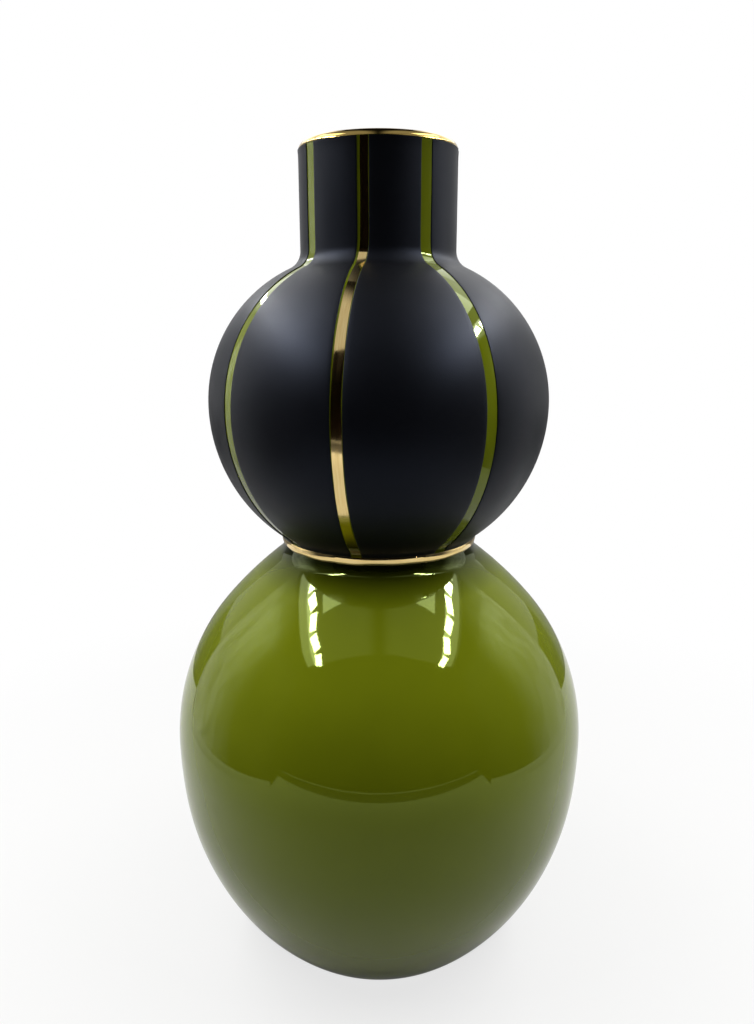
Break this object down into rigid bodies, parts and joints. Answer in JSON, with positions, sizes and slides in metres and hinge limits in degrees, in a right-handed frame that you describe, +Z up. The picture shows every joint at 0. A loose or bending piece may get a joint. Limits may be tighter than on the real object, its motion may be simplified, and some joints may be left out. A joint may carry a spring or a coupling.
{
  "type": "double gourd vase",
  "caption": "Tall double gourd vase: a glossy green globe below, a smaller matt black bulb with green and gold lines above, a straight neck and a gold lip and waist.",
  "frame": {"origin": "centre of the foot ring, on the ground", "axes": "+Z up along the vase's axis, -Y towards the front gold line"},
  "size_m": [0.21, 0.21, 0.4005],
  "materials": {
    "stoneware": "bare fired stoneware",
    "slip": "fired luting slip",
    "green_glaze": "glossy olive green glaze",
    "inner_glaze": "glossy green lining glaze",
    "black_enamel": "matt black fired enamel",
    "gold_lustre": "fired gold lustre"
  },
  "bodies": {
    "root": {"lower_body": "stoneware", "upper_body": "stoneware", "luting_slip": "slip", "outer_glaze": "green_glaze", "inner_glaze": "inner_glaze", "waist_band": "gold_lustre", "lip_band": "gold_lustre", "black_panel_1": "black_enamel", "black_panel_2": "black_enamel", "black_panel_3": "black_enamel", "black_panel_4": "black_enamel", "black_panel_5": "black_enamel", "black_panel_6": "black_enamel", "black_panel_7": "black_enamel", "black_panel_8": "black_enamel", "gold_stripe_1": "gold_lustre", "gold_stripe_2": "gold_lustre", "gold_stripe_3": "gold_lustre", "gold_stripe_4": "gold_lustre"}
  },
  "joints": []
}
